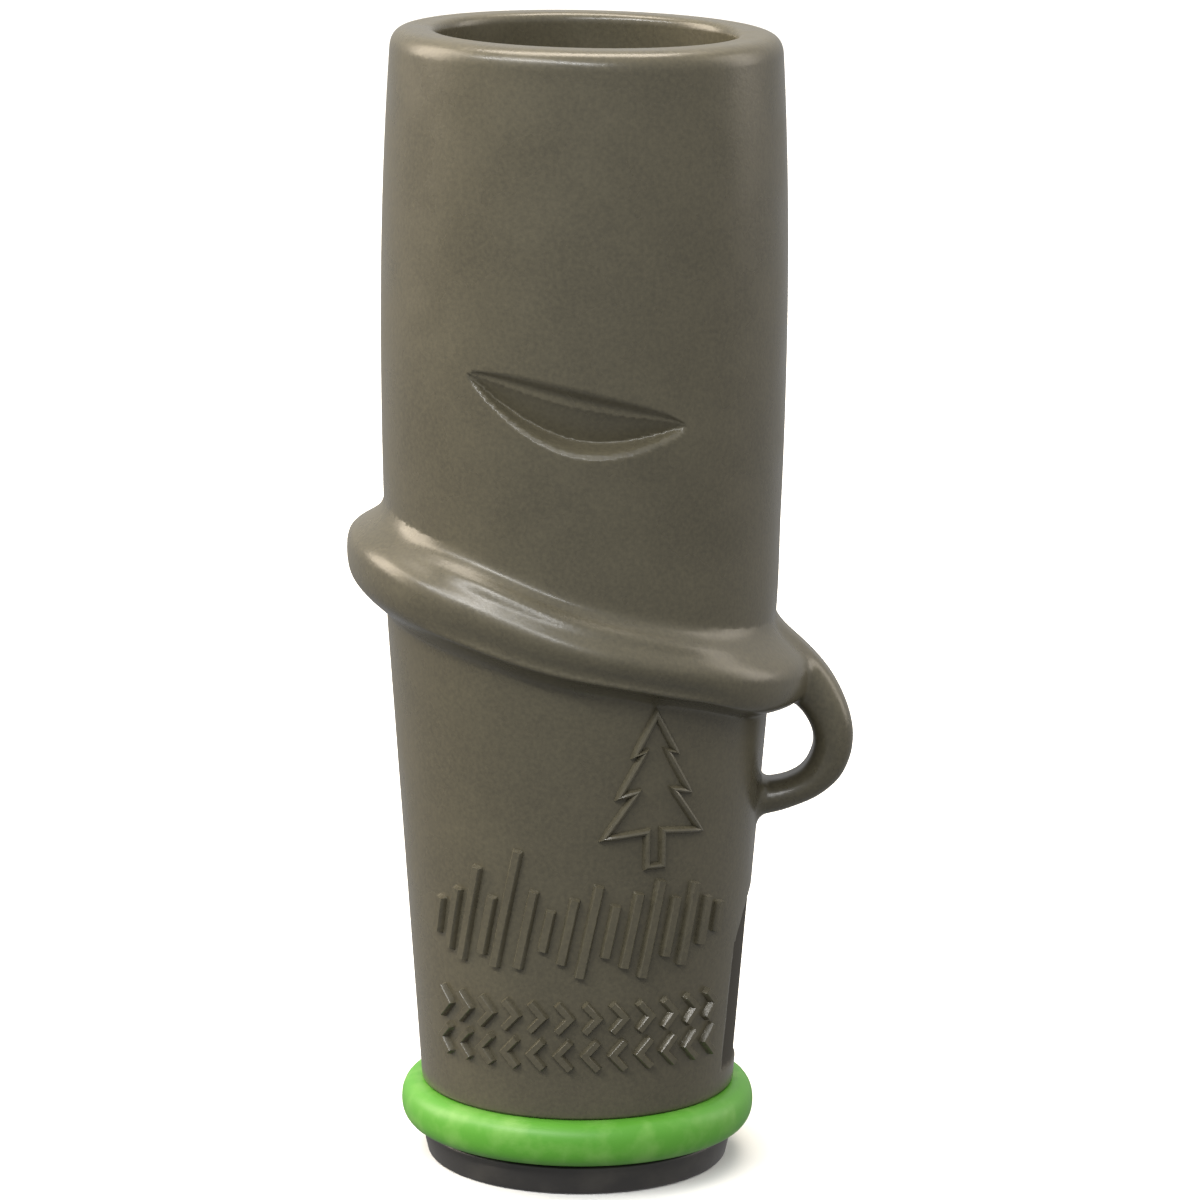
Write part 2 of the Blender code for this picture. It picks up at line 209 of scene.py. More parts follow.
def evaluated_mesh(obj, name):
    """The object's shape with its modifiers applied, in the frame; the object is removed."""
    bpy.context.view_layer.update()
    graph = bpy.context.evaluated_depsgraph_get()
    mesh = bpy.data.meshes.new_from_object(obj.evaluated_get(graph))
    mesh.transform(obj.matrix_world)
    mesh.name = name
    bpy.data.objects.remove(obj, do_unlink=True)
    return mesh


def finished_mesh(form, name):
    """The mesh built in a bmesh form, with its faces turned outwards."""
    bmesh.ops.recalc_face_normals(form, faces=form.faces)
    mesh = bpy.data.meshes.new(name)
    form.to_mesh(mesh)
    form.free()
    return mesh


def shade_with_edges(mesh, degrees):
    """Smooth shading, with an edge kept sharp where its faces meet at more than an angle."""
    mesh.shade_smooth()
    mesh.set_sharp_from_angle(angle=math.radians(degrees))


def blend_min(a, b, reach):
    """The smaller of two fields, with a fillet of about that reach where they meet."""
    h = np.clip(0.5 + 0.5 * (b - a) / reach, 0.0, 1.0)
    return b + (a - b) * h - reach * h * (1.0 - h)


def blend_max(a, b, reach):
    """The larger of two fields, with the same fillet."""
    return -blend_min(-a, -b, reach)


def ease(t):
    """A soft step from 0 to 1 while t goes from 0 to 1."""
    t = np.clip(t, 0.0, 1.0)
    return t * t * (3.0 - 2.0 * t)


def unit(direction):
    return direction / np.linalg.norm(direction)


def smooth_path(points, count):
    """Points along a Catmull-Rom curve through a few given ones."""
    points = np.array(points, float)
    padded = np.vstack([2 * points[0] - points[1], points, 2 * points[-1] - points[-2]])
    spans = len(points) - 1
    path = []
    for t in np.linspace(0, spans, count):
        i = min(int(t), spans - 1)
        s = t - i
        a, b, c, d = padded[i : i + 4]
        square = (2 * a - 5 * b + 4 * c - d) * s**2
        cube = (3 * b - a - 3 * c + d) * s**3
        path.append(0.5 * (2 * b + (c - a) * s + square + cube))
    return np.array(path)


def join_rings(form, rings, looped=False, open_rings=False):
    """Adds faces between neighbouring rings of points, and from the last to the first if looped."""
    following = rings[1:] + rings[:1] if looped else rings[1:]
    for low, high in zip(rings, following):
        for i in range(len(low) - 1 if open_rings else len(low)):
            j = (i + 1) % len(low)
            form.faces.new((low[i], low[j], high[j], high[i]))


def turned_mesh(name, section, steps):
    """A closed section of (radius, height) points in metres, turned about the tube axis."""
    form = bmesh.new()
    rings = []
    for radius, height in section:
        ring = []
        for i in range(steps):
            angle = 2 * math.pi * i / steps
            place = (AXIS_X + radius * math.cos(angle), radius * math.sin(angle), height)
            ring.append(form.verts.new(place))
        rings.append(ring)
    join_rings(form, rings, looped=True)
    return finished_mesh(form, name)


def fillet(corner, before, after, radius, count=5):
    """Points of a rounded corner between the directions to its two neighbours."""
    corner, before, after = (np.array(p, float) for p in (corner, before, after))
    start = corner + unit(before - corner) * radius
    end = corner + unit(after - corner) * radius
    steps = np.linspace(0, 1, count)
    return [tuple((1 - t) ** 2 * start + 2 * t * (1 - t) * corner + t**2 * end) for t in steps]


def rounded_section(points, radii):
    """A closed outline with each corner rounded by its own radius, or left sharp by 0."""
    outline = []
    for i, (point, radius) in enumerate(zip(points, radii)):
        if radius:
            outline += fillet(point, points[i - 1], points[(i + 1) % len(points)], radius)
        else:
            outline.append(point)
    return outline


# Barrel: a field in millimetres from the tube axis, negative inside the rubber


NECK_START, NECK_RADIUS, NECK_FLARE = 9.8, 14.02, 0.076
BELLY_HEIGHT, FALL_ABOVE, FALL_BELOW = 76.0, 0.00143, 0.00094
BELL_START, BELL_BLEND = 46.0, 12.0
SEAT_RADIUS = 13.0
THROAT_TOP, THROAT_FLARE = 53.5, 7.5
RIM_SLOPE, RIM_HIGH_SIDE = 0.011, -16.0
STRAP_HALF_WIDTH = 2.7
PANEL_DEPTH = 0.2


def neck_radius(z):
    return NECK_RADIUS + NECK_FLARE * (z - NECK_START)


def bell_radius(z, belly):
    """The bell's radius: largest at the belly, falling off as an arch above and below it."""
    fall = np.where(z > BELLY_HEIGHT, FALL_ABOVE, FALL_BELOW)
    return belly - fall * (z - BELLY_HEIGHT) ** 2


def barrel_radius(z, belly):
    """The barrel's outer radius without its collar."""
    share = ease((z - BELL_START) / BELL_BLEND)
    return neck_radius(z) + (bell_radius(z, belly) - neck_radius(z)) * share


def collar_sections():
    """The collar's two sections as (share of its half height, how far it stands out) points."""
    front = [(-1.3, 0.0), (-1.12, 0.02), (-1.0, 0.14), (-0.9, 0.42), (-0.8, 0.86), (-0.71, 1.38)]
    front += [(-0.64, 1.96), (-0.59, 2.28), (-0.54, 2.36), (-0.46, 2.3), (-0.35, 2.38), (-0.2, 2.62)]
    front += [(-0.05, 2.76), (0.08, 2.74), (0.2, 2.56), (0.32, 2.26), (0.44, 1.95), (0.55, 1.74)]
    front += [(0.64, 1.52), (0.72, 1.14), (0.8, 0.7), (0.9, 0.3), (1.0, 0.1), (1.12, 0.02), (1.3, 0.0)]
    flank = [(-1.25, 0.0), (-1.08, 0.0), (-1.0, 0.15), (-0.93, 0.55), (-0.85, 1.05), (-0.78, 1.55)]
    flank += [(-0.68, 2.2), (-0.55, 2.8), (-0.41, 3.12), (-0.2, 3.27), (0.0, 3.27), (0.15, 3.2)]
    flank += [(0.3, 2.95), (0.43, 2.45), (0.57, 1.7), (0.7, 1.0), (0.85, 0.4), (1.0, 0.08), (1.08, 0.0)]
    flank += [(1.3, 0.0)]
    return smooth_path(front, 600), smooth_path(flank, 600)


COLLAR_FRONT, COLLAR_FLANK = collar_sections()


def collar_rise(x, z, settings):
    """How far the collar stands out of the barrel, over its height from the collar's own plane.

    At both sides it is a thick round bead. In front a ridge runs along its top edge, a second one
    along its outer edge, and a plain face leads down to a soft edge above the underside.
    """
    half_width = 17.4
    eye_top, top_gain = 3.4, 1.2
    side_foot, foot_lift = -4.65, 0.75
    u = z - (settings.collar_height / MM - x * math.tan(settings.collar_tilt))
    side = np.clip(np.abs(x) / half_width, 0.0, 1.0)
    top = eye_top + top_gain * ease((2.5 - x) / 13.0)
    foot = side_foot + foot_lift * ease((x + 6.0) / 12.0) * ease((16.0 - x) / 6.0)
    share = (2 * u - top - foot) / (top - foot)
    front = np.interp(share, COLLAR_FRONT[:, 0], COLLAR_FRONT[:, 1])
    flank = np.interp(share, COLLAR_FLANK[:, 0], COLLAR_FLANK[:, 1])
    return front + (flank - front) * ease((side - 0.45) / 0.5)


def crease_sink(x, z, settings):
    """Depth of the crease: a folded face that slopes in under a soft edge, then a narrow ledge."""
    left_end, length = -9.7, 18.5
    left_height, drop = 72.0, 4.2
    edge_bow, foot_bow = 2.0, -4.15
    along = np.clip((x - left_end) / length, 0.0, 1.0)
    chord = left_height - drop * along
    taper = np.sqrt(np.clip(4 * along * (1 - along), 0.0, 1.0))
    upper = edge_bow * taper**0.7
    lower = foot_bow * np.sin(math.pi * along**0.93) ** 0.9
    t = (chord + upper - z) / np.maximum(upper - lower, 0.2)
    depth = settings.crease_depth / MM * taper**1.3
    # a steep start, a narrow terrace, and the long face behind the ledge
    face = 0.4 * ease(t / 0.24) + 0.02 * t + 0.58 * np.clip((t - 0.31) / 0.5, 0.0, 1.0) ** 0.85
    from_foot = (1.0 - t) * (upper - lower)
    lip = np.interp(from_foot, (0.0, 0.12, 0.5, 0.72, 1.35), (0.0, 0.03, 0.24, 0.6, 2.3))
    inside = (t > 0) & (t < 1) & (along > 0) & (along < 1)
    return np.where(inside, np.maximum(blend_min(depth * face, lip, 0.5), 0.0), 0.0)


def panel_sink(y, z):
    """Depth of the sunk panel with an arched top on the eye's side of the neck."""
    half, foot, spring = 6.0, 8.9, 19.0
    arch = np.hypot(y, np.maximum(z - spring, 0.0)) - half
    edge = np.maximum(arch, foot - z)
    depth = PANEL_DEPTH * (1.0 + (y / half) ** 2)
    return depth * ease(-edge / 0.4) * ease((z - foot + 0.7) / 1.6)


def outline_gap(across, up, outline):
    """Distance from points to a closed outline, negative inside it."""
    nearest = np.full(across.shape, 1e9)
    inside = np.zeros(across.shape, bool)
    for (ax, az), (bx, bz) in zip(outline, np.roll(outline, -1, axis=0)):
        run, climb = bx - ax, bz - az
        t = np.clip(((across - ax) * run + (up - az) * climb) / (run**2 + climb**2), 0.0, 1.0)
        nearest = np.minimum(nearest, (across - ax - t * run) ** 2 + (up - az - t * climb) ** 2)
        spans = (az > up) != (bz > up)
        inside ^= spans & (across < ax + (up - az) * run / (climb if climb else 1.0))
    return np.where(inside, -np.sqrt(nearest), np.sqrt(nearest))


def eye_outlines():
    """The lanyard eye's outer outline and its hole, as (reach, height) points from the axis."""
    outer = smooth_path(
        [(12.0, 50.4), (14.5, 50.0), (17.1, 48.5), (19.7, 46.3), (21.6, 44.2), (22.9, 42.0), (23.7, 39.8)]
        + [(23.9, 38.0), (23.6, 36.2), (22.7, 34.4), (21.0, 32.9), (18.9, 31.9), (16.6, 31.2), (12.0, 30.4)],
        80,
    )
    hole = smooth_path(
        [(14.0, 34.0), (16.6, 34.2), (18.3, 34.6), (19.6, 35.5), (20.35, 37.1), (20.3, 38.6), (19.6, 40.1)]
        + [(18.5, 41.2), (17.2, 41.4), (14.0, 40.7)],
        50,
    )
    return outer, hole


def eye_gap(x, y, z, outlines):
    """The field of the lanyard eye's strap: the outline less its hole, with round edges."""
    outer, hole = outlines
    plate = blend_max(outline_gap(x, z, outer), -outline_gap(x, z, hole), 0.5)
    return blend_max(plate, np.abs(y) - STRAP_HALF_WIDTH, 2.2)


def barrel_field(settings):
    """The barrel's field as a function of x, y and z in millimetres from the tube axis."""
    belly = settings.belly / MM
    bell_bore = settings.mouth_bore / MM
    throat = settings.throat_bore / MM
    top = CALL_HEIGHT / MM
    foot = BARREL_LOW.z / MM
    seat_top = BAND_HIGH.z / MM
    lip = settings.lip_round / MM
    outlines = eye_outlines()

    def field(x, y, z):
        r = np.hypot(x, y)
        relief = collar_rise(x, z, settings)
        relief = relief - np.where(y < 0, crease_sink(x, z, settings), 0.0)
        relief = relief - np.where(x > 0, panel_sink(y, z), 0.0)
        skin = r - barrel_radius(z, belly) - relief
        near_eye = (x > 11.5) & (np.abs(y) < 6) & (z > 26) & (z < 54)
        if near_eye.any():
            strap = np.full(x.shape, 1e3)
            strap[near_eye] = eye_gap(x[near_eye], y[near_eye], z[near_eye], outlines)
            skin = blend_min(skin, strap, 0.9)
        seat = blend_max(z - seat_top, SEAT_RADIUS - r, 0.1)
        skin = np.where(z < seat_top + 2, blend_max(skin, -seat, 0.3), skin)
        bore = throat + (bell_bore - throat) * ease((z - THROAT_TOP) / THROAT_FLARE)
        rim = top - RIM_SLOPE * (x - RIM_HIGH_SIDE)
        solid = blend_max(skin, z - rim, lip)
        solid = blend_max(solid, bore - r, 0.9)
        return blend_max(solid, foot - z, 0.4)

    return field


def surface_net(field, xs, ys, zs):
    """Points and quads on the zero level of a field: one point in each grid cell that it crosses."""
    layers = [field(*np.meshgrid(xs, ys, [z], indexing="ij"))[..., 0] for z in zs]
    inside = np.stack(layers, -1) < 0
    corners = sum(
        inside[i : len(xs) - 1 + i, j : len(ys) - 1 + j, k : len(zs) - 1 + k].astype(np.int8)
        for i in (0, 1)
        for j in (0, 1)
        for k in (0, 1)
    )
    crossed = (corners > 0) & (corners < 8)
    index = np.full(crossed.shape, -1, int)
    index[crossed] = np.arange(crossed.sum())
    i, j, k = np.nonzero(crossed)
    points = np.stack([xs[i] + xs[i + 1], ys[j] + ys[j + 1], zs[k] + zs[k + 1]], -1) / 2
    quads = []
    for axis in range(3):
        order = (axis, (axis + 1) % 3, (axis + 2) % 3)
        here = inside.transpose(order)[:, 1:-1, 1:-1]
        cells = index.transpose(order)
        around = np.stack([cells[:, :-1, :-1], cells[:, 1:, :-1], cells[:, 1:, 1:], cells[:, :-1, 1:]], -1)
        quads.append(around[here[:-1] & ~here[1:]])
        quads.append(around[~here[:-1] & here[1:]][:, ::-1])
    return points, np.concatenate(quads)


def field_slope(field, points, step=0.02):
    """The field's gradient at points."""
    slope = np.empty_like(points)
    for axis in range(3):
        shift = np.zeros(3)
        shift[axis] = step
        slope[:, axis] = (field(*(points + shift).T) - field(*(points - shift).T)) / (2 * step)
    return slope


def settle(field, points, quads, rounds):
    """Moves the points onto the surface, evening out their spacing between moves."""
    links = np.concatenate([quads[:, [0, 1]], quads[:, [1, 2]], quads[:, [2, 3]], quads[:, [3, 0]]])
    for turn in range(rounds):
        for _ in range(2):
            slope = field_slope(field, points)
            size = np.maximum((slope**2).sum(1), 0.2)
            step = field(*points.T)[:, None] * slope / size[:, None]
            points = points - np.clip(step, -0.3, 0.3)
        if turn < rounds - 1:
            total = np.zeros_like(points)
            np.add.at(total, links[:, 0], points[links[:, 1]])
            count = np.bincount(links[:, 0], minlength=len(points))
            points = points + 0.5 * (total / count[:, None] - points)
    return points


def grid_rows(zones):
    """Grid heights from (height, step) zones, each step holding up to the next height."""
    rows = []
    for (start, step), (end, _) in zip(zones, zones[1:]):
        rows.append(np.linspace(start, end, max(int(round((end - start) / step)), 1), endpoint=False))
    rows.append([zones[-1][0]])
    return np.concatenate(rows)


def barrel_mesh(settings):
    field = barrel_field(settings)
    cell = settings.cell / MM
    xs = np.arange(-COLLAR_REACH / MM - 1.0, EYE_REACH / MM + 1.0, cell)
    ys = np.arange(-COLLAR_REACH / MM - 1.0, COLLAR_REACH / MM + 1.0, cell)
    coarse = 1.6 * cell
    fine = 0.6 * cell
    zs = grid_rows(
        [(2.3, fine), (9.0, coarse), (29.0, cell), (43.0, 0.8 * cell), (60.0, coarse), (64.0, fine)]
        + [(73.0, coarse), (96.5, fine), (100.7, fine)]
    )
    points, quads = surface_net(field, xs, ys, zs)
    points = settle(field, points, quads, 4)
    mesh = bpy.data.meshes.new("barrel_skin")
    placed = points * MM + np.array([AXIS_X, 0.0, 0.0])
    mesh.from_pydata(placed.tolist(), [], quads.tolist())
    return mesh, field


def smooth_by_field(mesh, field):
    """Gives the mesh the field's own normals, so that shading shows no facets."""
    count = len(mesh.vertices)
    placed = np.empty(count * 3)
    mesh.vertices.foreach_get("co", placed)
    points = (placed.reshape(-1, 3) - np.array([AXIS_X, 0.0, 0.0])) / MM
    slope = field_slope(field, points)
    slope /= np.linalg.norm(slope, axis=1)[:, None]
    mesh.shade_smooth()
    mesh.normals_split_custom_set_from_vertices(slope.tolist())
    # mask of the sunk panel: it drives the panel's painted shade and its duller finish
    shade_and_dullness_mask = mesh.attributes.new("panel_shade_and_dullness", "FLOAT", "POINT")
    depth = panel_sink(points[:, 1], points[:, 2]) / PANEL_DEPTH
    shade_and_dullness_mask.data.foreach_set("value", np.where(points[:, 0] > 0, np.clip(depth, 0.0, 1.0), 0.0))


def moulded_tpe(finish):
    """Injection moulded thermoplastic elastomer: matt skin from a spark-eroded mould, faint bloom."""
    material, tree, shader = new_material("moulded_tpe")
    where = {"Vector": add_node(tree, "ShaderNodeTexCoord").outputs["Object"]}
    # cloudy bloom a few millimetres across
    cloud = add_node(tree, "ShaderNodeTexNoise", {"Scale": 1 / (6 * MM), "Detail": 4.0}, where)
    # mould grain of about 0.25 mm, drawn a little coarser than the real one so that it shows
    grain = add_node(tree, "ShaderNodeTexNoise", {"Scale": 1 / (0.35 * MM), "Detail": 3.0}, where)
    mixed = add_node(
        tree,
        "ShaderNodeMath",
        {"operation": "MULTIPLY_ADD", 1: 0.5},
        {0: cloud.outputs["Fac"], 2: grain.outputs["Fac"]},
    )
    share = add_node(
        tree,
        "ShaderNodeMapRange",
        {"From Min": 0.5, "From Max": 1.05, "To Max": 0.35},
        {"Value": mixed.outputs[0]},
    )
    paint = add_node(
        tree,
        "ShaderNodeMix",
        {"data_type": "RGBA", 6: colour(finish.barrel), 7: colour(finish.barrel_dust)},
        {0: share.outputs[0]},
    )
    rough = add_node(
        tree,
        "ShaderNodeMapRange",
        {"From Min": 0.3, "From Max": 0.7, "To Min": 0.22, "To Max": 0.36},
        {"Value": cloud.outputs["Fac"]},
    )
    bump = add_node(
        tree, "ShaderNodeBump", {"Strength": 0.4, "Distance": 0.03 * MM}, {"Height": grain.outputs["Fac"]}
    )
    # the sunk panel is eroded coarser, so it is duller; its darker colour is painted shade for the recess
    shade_and_dullness_mask = add_node(tree, "ShaderNodeAttribute", {"attribute_name": "panel_shade_and_dullness"})
    shade = add_node(
        tree,
        "ShaderNodeMix",
        {"data_type": "RGBA", 7: colour(finish.panel)},
        {0: shade_and_dullness_mask.outputs["Fac"], 6: paint.outputs[2]},
    )
    dull = add_node(tree, "ShaderNodeMix", {3: 0.8}, {0: shade_and_dullness_mask.outputs["Fac"], 2: rough.outputs[0]})
    set_shader(
        shader,
        {"Base Color": shade.outputs[2], "Roughness": dull.outputs[0], "Normal": bump.outputs[0]},
        {"IOR": 1.49},
    )
    return material


class GRUNT_OT_barrel(bpy.types.Operator):
    """Build the soft barrel with its collar, lanyard eye, crease and sunk panel"""

    bl_idname = "grunt.barrel"
    bl_label = "Barrel"

    def execute(self, context):
        mesh, field = barrel_mesh(context.scene.grunt_barrel)
        smooth_by_field(mesh, field)
        material = moulded_tpe(context.scene.grunt_finish)
        new_piece("barrel_skin", mesh, material, "barrel", ["barrel"])
        return {"FINISHED"}


# Raised decoration


def raised_stroke(form, path, half_width, height, closed=False, round_top=False):
    """Adds one raised line to the mesh: a ridge along (across, up) points on the neck.

    Its section is bevelled or round, as shares of its half width and height, and sinks a little
    into the neck.
    """
    bevel = 0.16
    sunk = -0.15
    if round_top:
        section = [(-1.0, sunk), (-0.85, 0.45), (-0.5, 0.85), (0.0, 1.0), (0.5, 0.85), (0.85, 0.45)]
    else:
        section = [(-1.0, sunk), (-0.72, 0.85), (-0.55, 1.0), (0.55, 1.0), (0.72, 0.85)]
    section.append((1.0, sunk))
    corners = np.array(path, float)
    spans = list(zip(corners, np.roll(corners, -1, axis=0))) if closed else list(zip(corners, corners[1:]))
    points, leans = [], []
    for i, (start, end) in enumerate(spans):
        length = np.linalg.norm(end - start)
        run = (end - start) / length
        lean = np.array([-run[1], run[0]])
        before = unit(run if (i == 0 and not closed) else spans[i - 1][1] - spans[i - 1][0])
        mitre = np.array([-(run + before)[1], (run + before)[0]])
        mitre /= max(mitre @ lean, 0.5)
        points.append(start)
        leans.append(mitre)
        steps = max(int(length / 0.5), 1)
        for step in range(1, steps):
            points.append(start + (end - start) * step / steps)
            leans.append(lean)
    if not closed:
        points.append(corners[-1])
        leans.append(lean)
    sides = []
    for point, lean in zip(points, leans):
        sides.append([(point + lean * half_width * k, height * h) for k, h in section])
    if not closed:
        first = unit(spans[0][1] - spans[0][0])
        sides.insert(0, [(point - first * bevel, sunk * height) for point, _ in sides[0]])
        sides.append([(point + run * bevel, sunk * height) for point, _ in sides[-1]])
    rings = []
    for side in sides:
        ring = []
        for (across, up), stand in side:
            radius = neck_radius(up)
            angle = across / radius
            reach = radius + stand
            place = Vector((reach * math.sin(angle), -reach * math.cos(angle), up)) * MM
            ring.append(form.verts.new(AXIS + place))
        rings.append(ring)
    join_rings(form, rings, looped=closed, open_rings=True)


def conifer_outline(middle, foot, height, width):
    """A tree in three tiers: corners of its right half, mirrored into one closed line."""
    right = [(0.0, 1.0), (0.42, 0.74), (0.22, 0.76), (0.72, 0.47), (0.36, 0.5), (1.0, 0.2)]
    right += [(0.16, 0.23), (0.16, 0.0)]
    left = [(-x, z) for x, z in reversed(right[1:])]
    return [(middle + x * width / 2, foot + z * height) for x, z in right + left]


def slanted_bar(middle, centre, length, lean=0.2):
    across, up = lean * length / 2, length / 2
    return [(middle - across, centre - up), (middle + across, centre + up)]


def chevron(middle, centre, height, point):
    tail, tip = middle - point / 2, middle + point / 2
    return [(tail, centre + height / 2), (tip, centre), (tail, centre - height / 2)]


class GRUNT_OT_decoration(bpy.types.Operator):
    """Build the raised decoration: a conifer, a band of bars like a sound wave, and two chevron rows"""

    bl_idname = "grunt.decoration"
    bl_label = "Raised decoration"

    def execute(self, context):
        stand = context.scene.grunt_barrel.decoration_height / MM
        form = bmesh.new()
        tree = conifer_outline(middle=6.6, foot=29.9, height=13.6, width=9.0)
        raised_stroke(form, tree, 0.34, stand, closed=True, round_top=True)
        first_bar, bar_spacing, bar_centre = -13.6, 1.82, 24.2
        lengths = (3.2, 5.6, 8.6, 5.2, 10.6, 7.0, 3.6, 5.8, 8.2, 4.6, 6.6, 8.6, 5.2, 7.2, 4.2, 2.6)
        lifts = {2: 0.8, 4: 1.7}
        for i, length in enumerate(lengths):
            centre = bar_centre + lifts.get(i, 0.0)
            raised_stroke(form, slanted_bar(first_bar + bar_spacing * i, centre, length), 0.52, stand)
        first_chevron, chevron_spacing, chevron_height = -12.9, 2.35, 2.5
        for centre, point in ((16.3, 1.1), (12.9, -1.1)):
            for i in range(12):
                middle = first_chevron + chevron_spacing * i
                raised_stroke(form, chevron(middle, centre, chevron_height, point), 0.42, stand)
        mesh = finished_mesh(form, "raised_decoration")
        shade_with_edges(mesh, 35)
        material = moulded_tpe(context.scene.grunt_finish)
        new_piece("raised_decoration", mesh, material, "barrel")
        return {"FINISHED"}


# Clamp band


def moulded_silicone(finish):
    """Moulded silicone rubber: bright pigment, satin, with pale scuffs."""
    material, tree, shader = new_material("moulded_silicone")
    where = {"Vector": add_node(tree, "ShaderNodeTexCoord").outputs["Object"]}
    scuff = add_node(tree, "ShaderNodeTexNoise", {"Scale": 1 / (2.5 * MM), "Detail": 6.0}, where)
    share = add_node(
        tree,
        "ShaderNodeMapRange",
        {"From Min": 0.48, "From Max": 0.75, "To Max": 0.5},
        {"Value": scuff.outputs["Fac"]},
    )
    paint = add_node(
        tree,
        "ShaderNodeMix",
        {"data_type": "RGBA", 6: colour(finish.band), 7: colour(finish.band_pale)},
        {0: share.outputs[0]},
    )
    bump = add_node(
        tree, "ShaderNodeBump", {"Strength": 0.2, "Distance": 0.05 * MM}, {"Height": scuff.outputs["Fac"]}
    )
    set_shader(
        shader, {"Base Color": paint.outputs[2], "Normal": bump.outputs[0]}, {"Roughness": 0.42, "IOR": 1.43}
    )
    return material


class GRUNT_OT_band(bpy.types.Operator):
    """Build the clamp band round the barrel's foot"""

    bl_idname = "grunt.band"
    bl_label = "Clamp band"

    def execute(self, context):
        reach = BAND_HIGH.x - AXIS_X
        bore = 13.3 * MM
        wall = 0.5 * MM
        middle = (BAND_LOW.z + BAND_HIGH.z) / 2
        half = (BAND_HIGH.z - BAND_LOW.z) / 2
        section = [(bore, middle + 0.8 * half), (bore, middle - 0.8 * half)]
        for angle in np.radians(np.linspace(-100, 100, 25)):
            sweep = math.copysign(abs(math.cos(angle)) ** 0.8, math.cos(angle))
            rise = math.copysign(abs(math.sin(angle)) ** 0.9, math.sin(angle))
            section.append((bore + wall + (reach - bore - wall) * sweep, middle + half * rise))
        mesh = turned_mesh("band_ring", section, 160)
        mesh.shade_smooth()
        material = moulded_silicone(context.scene.grunt_finish)
        new_piece("band_ring", mesh, material, "barrel", ["clamp_band"])
        return {"FINISHED"}


# Mouthpiece and reed unit


def lofted_mesh(name, rings):
    """A closed skin through rings of the same number of points, capped at both ends."""
    form = bmesh.new()
    rings = [[form.verts.new(point) for point in ring] for ring in rings]
    join_rings(form, rings)
    form.faces.new(rings[0])
    form.faces.new(rings[-1])
    return finished_mesh(form, name)


def swept_ring(name, path, wire, steps=16):
    """A round cord of rubber closed along a path of points in metres."""
    form = bmesh.new()
    path = [Vector(point) for point in path]
    rings = []
    for i, point in enumerate(path):
        run = (path[(i + 1) % len(path)] - path[i - 1]).normalized()
        side = run.cross(Vector((0.0, 0.0, 1.0)))
        ring = []
        for k in range(steps):
            angle = 2 * math.pi * k / steps
            away = side * math.cos(angle) + Vector((0.0, 0.0, math.sin(angle)))
            ring.append(form.verts.new(point + wire * away))
        rings.append(ring)
    join_rings(form, rings, looped=True)
    mesh = finished_mesh(form, name)
    mesh.shade_smooth()
    return mesh


def moulded_abs(finish):
    """Injection moulded ABS, black: low sheen from a finely eroded mould, with dust in its grain."""
    material, tree, shader = new_material("moulded_abs")
    where = {"Vector": add_node(tree, "ShaderNodeTexCoord").outputs["Object"]}
    # mould grain of about 0.1 mm, drawn at 0.3 mm so that it shows
    grain = add_node(tree, "ShaderNodeTexNoise", {"Scale": 1 / (0.3 * MM), "Detail": 2.0}, where)
    dust = add_node(tree, "ShaderNodeTexNoise", {"Scale": 1 / (4 * MM), "Detail": 5.0}, where)
    share = add_node(
        tree,
        "ShaderNodeMapRange",
        {"From Min": 0.5, "From Max": 0.8, "To Max": 0.35},
        {"Value": dust.outputs["Fac"]},
    )
    paint = add_node(
        tree,
        "ShaderNodeMix",
        {"data_type": "RGBA", 6: colour(finish.plastic), 7: colour(finish.plastic_dust)},
        {0: share.outputs[0]},
    )
    bump = add_node(
        tree, "ShaderNodeBump", {"Strength": 0.3, "Distance": 0.02 * MM}, {"Height": grain.outputs["Fac"]}
    )
    set_shader(
        shader, {"Base Color": paint.outputs[2], "Normal": bump.outputs[0]}, {"Roughness": 0.4, "IOR": 1.54}
    )
    return material


def moulded_nitrile(finish):
    """Nitrile rubber O-ring: near black, dull, with talc left in faint patches."""
    material, tree, shader = new_material("moulded_nitrile")
    where = {"Vector": add_node(tree, "ShaderNodeTexCoord").outputs["Object"]}
    talc = add_node(tree, "ShaderNodeTexNoise", {"Scale": 1 / (1.5 * MM), "Detail": 4.0}, where)
    rough = add_node(
        tree,
        "ShaderNodeMapRange",
        {"From Min": 0.35, "From Max": 0.7, "To Min": 0.42, "To Max": 0.62},
        {"Value": talc.outputs["Fac"]},
    )
    paint = add_node(
        tree,
        "ShaderNodeMix",
        {"data_type": "RGBA", 6: colour(finish.nitrile), 7: colour(finish.talc)},
        {0: talc.outputs["Fac"]},
    )
    set_shader(shader, {"Roughness": rough.outputs[0], "Base Color": paint.outputs[2]}, {"IOR": 1.52})
    return material


def cast_film(finish):
    """Cast polyester film: milky, lets light through, glossy with fine scratches along its length."""
    material, tree, shader = new_material("cast_film")
    where = {"Vector": add_node(tree, "ShaderNodeTexCoord").outputs["Object"]}
    # scratches 0.1 mm apart across the reed and 8 mm long
    stretch = add_node(
        tree, "ShaderNodeMapping", {"Scale": (1 / (0.1 * MM), 1 / (0.1 * MM), 1 / (8 * MM))}, where
    )
    along = {"Vector": stretch.outputs[0]}
    scratch = add_node(tree, "ShaderNodeTexNoise", {"Scale": 1.0, "Detail": 2.0}, along)
    rough = add_node(
        tree,
        "ShaderNodeMapRange",
        {"From Min": 0.4, "From Max": 0.65, "To Min": 0.16, "To Max": 0.34},
        {"Value": scratch.outputs["Fac"]},
    )
    set_shader(
        shader,
        {"Roughness": rough.outputs[0]},
        {"Base Color": colour(finish.film), "Transmission Weight": 0.35, "IOR": 1.6},
    )
    return material


